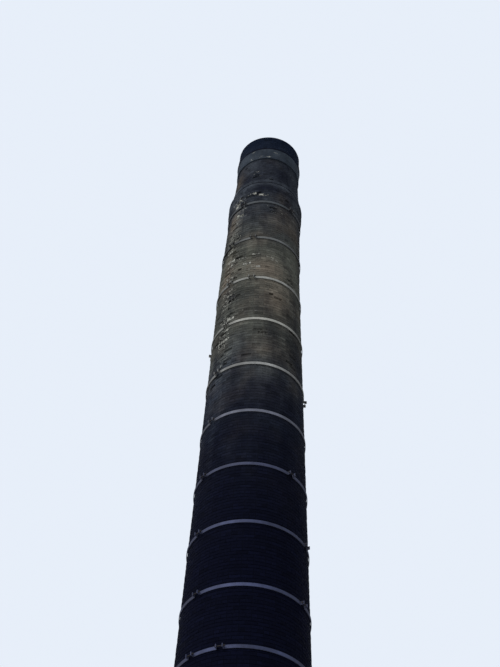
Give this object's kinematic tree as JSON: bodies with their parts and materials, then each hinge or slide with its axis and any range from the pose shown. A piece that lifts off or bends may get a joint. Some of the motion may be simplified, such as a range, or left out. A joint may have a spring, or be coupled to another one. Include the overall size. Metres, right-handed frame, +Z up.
{
  "type": "brick factory chimney",
  "caption": "Tall round tapering brick factory chimney, hollow and open at the top, bound by iron hoops, with a string course, a pale ring and a black crown.",
  "frame": {"origin": "on the chimney's axis at ground level, in the flat underside of the footing course", "axes": "+Z up along the chimney, -Y towards the viewer of the picture, +X to the right"},
  "size_m": [3.652, 3.652, 31.7423],
  "materials": {
    "shaft_brick": "soot-stained rough brickwork with lime mortar",
    "head_brick": "soot-stained rough brickwork",
    "pale_render": "weathered pale render",
    "black_crown": "soot-black brickwork",
    "hoop_iron": "aluminium-painted wrought iron, weathered"
  },
  "bodies": {
    "root": {"footing_course": "shaft_brick", "plinth": "shaft_brick", "shaft_lift_1": "shaft_brick", "shaft_lift_2": "shaft_brick", "shaft_lift_3": "shaft_brick", "shaft_lift_4": "shaft_brick", "leaning_lift": "shaft_brick", "string_course": "head_brick", "neck": "head_brick", "pale_ring": "pale_render", "crown": "black_crown", "coping": "black_crown", "hoop_01": "hoop_iron", "hoop_02": "hoop_iron", "hoop_03": "hoop_iron", "hoop_04": "hoop_iron", "hoop_05": "hoop_iron", "hoop_06": "hoop_iron", "hoop_07": "hoop_iron", "hoop_08": "hoop_iron", "hoop_09": "hoop_iron", "hoop_10": "hoop_iron", "hoop_11": "hoop_iron", "hoop_12": "hoop_iron", "hoop_13": "hoop_iron", "hoop_14": "hoop_iron", "hoop_15": "hoop_iron", "hoop_16": "hoop_iron", "hoop_17": "hoop_iron", "hoop_18": "hoop_iron"}
  },
  "joints": []
}
